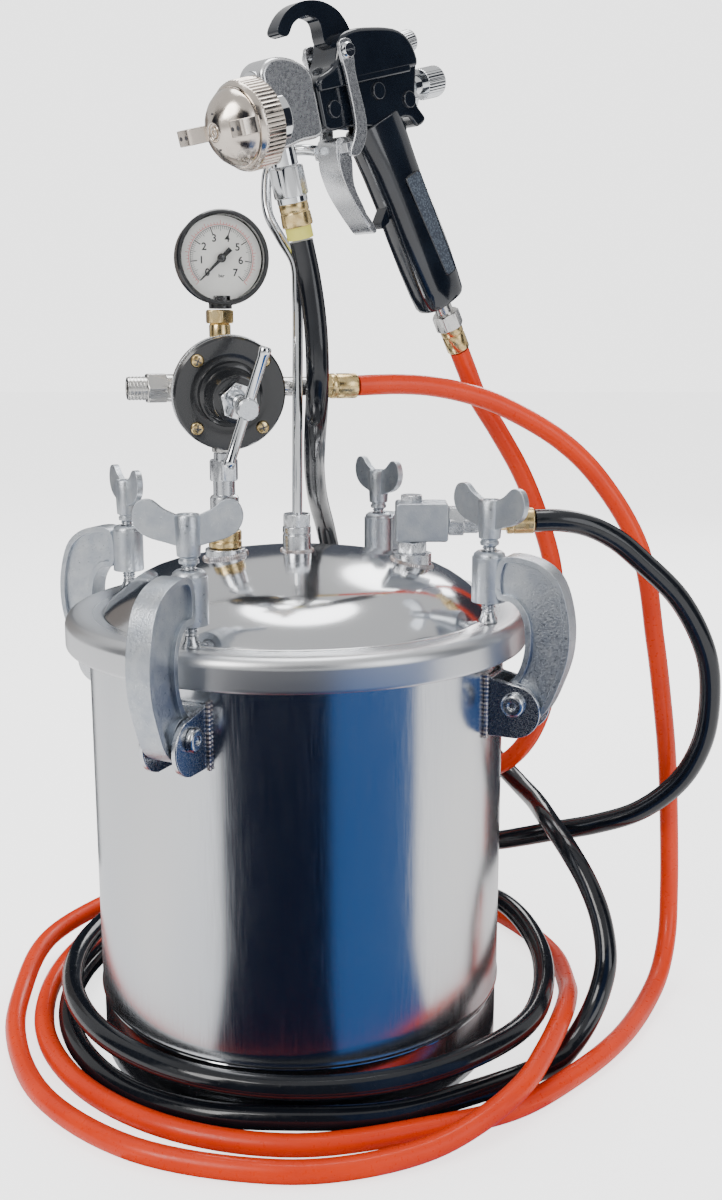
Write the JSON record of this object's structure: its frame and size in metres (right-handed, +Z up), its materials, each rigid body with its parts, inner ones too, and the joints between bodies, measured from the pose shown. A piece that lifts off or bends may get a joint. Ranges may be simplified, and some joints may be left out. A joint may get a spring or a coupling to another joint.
{
  "type": "pressure paint pot with spray gun",
  "caption": "Stainless pressure pot with swing clamps, regulator, gauge, coiled air and fluid hoses and a spray gun hung on its rod.",
  "frame": {"origin": "on the floor, on the axis of the pot", "axes": "+Z up along the pot axis, -Y the front, where the gauge and regulator face"},
  "size_m": [0.4413, 0.3789, 0.5882],
  "materials": {
    "stainless": "fine vertical brushing, lid polished",
    "rubber": "matt black",
    "zinc_casting": "zinc plated casting, slightly grainy",
    "plated_steel": "bright plated steel",
    "brass": "machined",
    "satin_nickel": "satin nickel over a casting",
    "black_paint": "gloss black",
    "chrome": "polished",
    "nickel_cap": "warm polished nickel",
    "white_dial": "matt white with a printed scale",
    "gauge_glass": "clear",
    "gun_black": "glossy blue black coating",
    "orange_hose": "smooth orange air hose",
    "black_hose": "glossy black fluid hose"
  },
  "bodies": {
    "pot": {"pot_shell": "stainless", "base_ring": "stainless", "lid": "stainless", "lid_gasket": "rubber", "pickup_tube": "stainless", "clamp_bracket_front_left": "plated_steel", "clamp_pin_front_left": "plated_steel", "clamp_bracket_front_right": "plated_steel", "clamp_pin_front_right": "plated_steel", "clamp_bracket_back_right": "plated_steel", "clamp_pin_back_right": "plated_steel", "clamp_bracket_back_left": "plated_steel", "clamp_pin_back_left": "plated_steel", "regulator_boss": "stainless", "regulator_nipple": "brass", "regulator_union": "stainless", "regulator_body": "satin_nickel", "diaphragm": "rubber", "regulator_bonnet": "black_paint", "adjusting_spring": "plated_steel", "lock_nut": "plated_steel", "air_inlet_nipple": "satin_nickel", "air_outlet_fitting": "brass", "gauge_case": "black_paint", "gauge_dial": "white_dial", "gauge_lens": "gauge_glass", "gauge_stem": "brass", "rod_collar": "stainless", "hook_rod": "chrome", "outlet_boss": "stainless", "outlet_block": "satin_nickel", "outlet_fitting": "brass", "gun_body": "gun_black", "gun_head": "chrome", "gun_fluid_inlet": "brass", "gun_air_inlet": "brass", "air_hose": "orange_hose", "fluid_hose": "black_hose"},
    "arm_front_left": {"clamp_arm_front_left": "zinc_casting"},
    "foot_front_left": {"clamp_foot_front_left": "plated_steel"},
    "screw_front_left": {"wing_screw_front_left": "zinc_casting"},
    "arm_front_right": {"clamp_arm_front_right": "zinc_casting"},
    "foot_front_right": {"clamp_foot_front_right": "plated_steel"},
    "screw_front_right": {"wing_screw_front_right": "zinc_casting"},
    "arm_back_right": {"clamp_arm_back_right": "zinc_casting"},
    "foot_back_right": {"clamp_foot_back_right": "plated_steel"},
    "screw_back_right": {"wing_screw_back_right": "zinc_casting"},
    "arm_back_left": {"clamp_arm_back_left": "zinc_casting"},
    "foot_back_left": {"clamp_foot_back_left": "plated_steel"},
    "screw_back_left": {"wing_screw_back_left": "zinc_casting"},
    "regulator_push": {"spring_button": "brass"},
    "regulator_adjuster": {"regulator_screw": "plated_steel", "t_bar": "chrome"},
    "needle_pointer": {"gauge_needle": "black_paint"},
    "trigger": {"trigger": "chrome"},
    "fluid_needle": {"fluid_needle": "plated_steel"},
    "fluid_knob": {"fluid_knob": "chrome"},
    "pattern_knob": {"pattern_knob": "chrome"},
    "retaining_ring": {"retaining_ring": "nickel_cap"},
    "air_cap": {"air_cap": "nickel_cap"}
  },
  "joints": [
    {"name": "clamp_swing_front_left", "type": "hinge", "parent": "pot", "child": "arm_front_left", "pos_m": [-0.0564, -0.12376, 0.221], "axis": [0.91, -0.4147, 0], "range_deg": [0, 90]},
    {"name": "foot_lift_front_left", "type": "slide", "parent": "arm_front_left", "child": "foot_front_left", "axis": [0, 0, 1], "range_m": [0, 0.005]},
    {"name": "wing_turn_front_left", "type": "hinge", "parent": "foot_front_left", "child": "screw_front_left", "pos_m": [-0.04852, -0.10647, 0.32], "axis": [0, 0, 1], "range_deg": [0, 1441]},
    {"name": "clamp_swing_front_right", "type": "hinge", "parent": "pot", "child": "arm_front_right", "pos_m": [0.12376, -0.0564, 0.221], "axis": [0.4147, 0.91, 0], "range_deg": [0, 90]},
    {"name": "foot_lift_front_right", "type": "slide", "parent": "arm_front_right", "child": "foot_front_right", "axis": [0, 0, 1], "range_m": [0, 0.005]},
    {"name": "wing_turn_front_right", "type": "hinge", "parent": "foot_front_right", "child": "screw_front_right", "pos_m": [0.10647, -0.04852, 0.32], "axis": [0, 0, 1], "range_deg": [0, 1441]},
    {"name": "clamp_swing_back_right", "type": "hinge", "parent": "pot", "child": "arm_back_right", "pos_m": [0.0564, 0.12376, 0.221], "axis": [-0.91, 0.4147, 0], "range_deg": [0, 90]},
    {"name": "foot_lift_back_right", "type": "slide", "parent": "arm_back_right", "child": "foot_back_right", "axis": [0, 0, 1], "range_m": [0, 0.005]},
    {"name": "wing_turn_back_right", "type": "hinge", "parent": "foot_back_right", "child": "screw_back_right", "pos_m": [0.04852, 0.10647, 0.32], "axis": [0, 0, 1], "range_deg": [0, 1441]},
    {"name": "clamp_swing_back_left", "type": "hinge", "parent": "pot", "child": "arm_back_left", "pos_m": [-0.12376, 0.0564, 0.221], "axis": [-0.4147, -0.91, 0], "range_deg": [0, 90]},
    {"name": "foot_lift_back_left", "type": "slide", "parent": "arm_back_left", "child": "foot_back_left", "axis": [0, 0, 1], "range_m": [0, 0.005]},
    {"name": "wing_turn_back_left", "type": "hinge", "parent": "foot_back_left", "child": "screw_back_left", "pos_m": [-0.10647, 0.04852, 0.32], "axis": [0, 0, 1], "range_deg": [0, 1441]},
    {"name": "regulator_push", "type": "slide", "parent": "pot", "child": "regulator_push", "axis": [-0.306, 0.9418, 0.1392], "range_m": [0, 0.005], "deforming": ["adjusting_spring"]},
    {"name": "regulator_turn", "type": "hinge", "parent": "regulator_push", "child": "regulator_adjuster", "pos_m": [-0.02233, -0.06145, 0.37951], "axis": [-0.306, 0.9418, 0.1392], "range_deg": [0, 1441]},
    {"name": "gauge_pointer", "type": "hinge", "parent": "pot", "child": "needle_pointer", "pos_m": [-0.03915, -0.00971, 0.458], "axis": [-0.309, 0.9511, 0], "range_deg": [0, 270], "stiffness_Nm_per_rad": 0.0005, "springref_deg": -5.73},
    {"name": "trigger_pull", "type": "hinge", "parent": "pot", "child": "trigger", "pos_m": [0.01943, -0.00406, 0.5635], "axis": [0.6691, -0.7431, 0], "range_deg": [0, 4], "stiffness_Nm_per_rad": 2, "springref_deg": -3.44},
    {"name": "needle_draw", "type": "slide", "parent": "pot", "child": "fluid_needle", "axis": [0.7161, 0.6448, 0.2672], "range_m": [0, 0.0018]},
    {"name": "fluid_knob_turn", "type": "hinge", "parent": "pot", "child": "fluid_knob", "pos_m": [0.07523, 0.04619, 0.55838], "axis": [0.7161, 0.6448, 0.2672], "range_deg": [0, 720]},
    {"name": "pattern_knob_turn", "type": "hinge", "parent": "pot", "child": "pattern_knob", "pos_m": [0.0613, 0.03364, 0.57736], "axis": [0.6928, 0.6238, 0.3618], "range_deg": [0, 540]},
    {"name": "retaining_ring_turn", "type": "hinge", "parent": "pot", "child": "retaining_ring", "pos_m": [-0.02144, -0.04086, 0.52231], "axis": [-0.7161, -0.6448, -0.2672], "range_deg": [0, 720]},
    {"name": "air_cap_turn", "type": "hinge", "parent": "pot", "child": "air_cap", "pos_m": [-0.03147, -0.04989, 0.51857], "axis": [-0.7161, -0.6448, -0.2672], "range_deg": [-90, 90]}
  ],
  "couplings": [
    {"joint": "wing_turn_front_left", "follows": "foot_lift_front_left", "rad_per_m": 5026.5},
    {"joint": "wing_turn_front_right", "follows": "foot_lift_front_right", "rad_per_m": 5026.5},
    {"joint": "wing_turn_back_right", "follows": "foot_lift_back_right", "rad_per_m": 5026.5},
    {"joint": "wing_turn_back_left", "follows": "foot_lift_back_left", "rad_per_m": 5026.5},
    {"joint": "regulator_turn", "follows": "regulator_push", "rad_per_m": 5026.5},
    {"joint": "needle_draw", "follows": "trigger_pull", "m_per_rad": 0.025}
  ]
}
